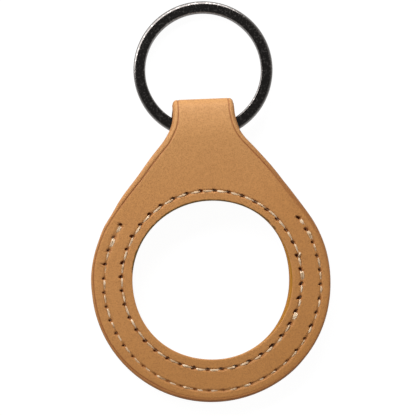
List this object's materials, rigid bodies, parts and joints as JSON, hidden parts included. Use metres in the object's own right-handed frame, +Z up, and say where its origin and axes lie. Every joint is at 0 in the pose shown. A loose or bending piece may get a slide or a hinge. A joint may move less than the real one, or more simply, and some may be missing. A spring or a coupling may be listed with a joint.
{
  "type": "medallion holder keychain",
  "caption": "Round stitched leather medallion holder with an open window, its folded tab hanging from a flat split key ring that swings in the fold.",
  "frame": {"origin": "middle of the bounding box, at its bottom: the surface that the keychain lies on", "axes": "+Z up, out of the front of the holder; +Y from the holder's window towards the key ring; +X to the right seen from the front"},
  "size_m": [0.0482, 0.0809, 0.0076],
  "materials": {
    "leather": "smooth vegetable-tanned leather, golden tan, with dyed brown cut edges",
    "thread": "cream twisted polyester or linen thread, lightly waxed",
    "ring_metal": "polished black nickel plate on flattened spring steel wire"
  },
  "bodies": {
    "holder": {"leather_holder": "leather", "window_row_needle_thread": "thread", "window_row_bobbin_thread": "thread", "edge_row_needle_thread": "thread", "edge_row_bobbin_thread": "thread"},
    "ring": {"split_ring": "ring_metal"}
  },
  "joints": [
    {"name": "ring_swing", "type": "hinge", "parent": "holder", "child": "ring", "pos_m": [0, 0.01485, 0.00377], "axis": [1, 0, 0], "range_deg": [-90, 120]}
  ]
}
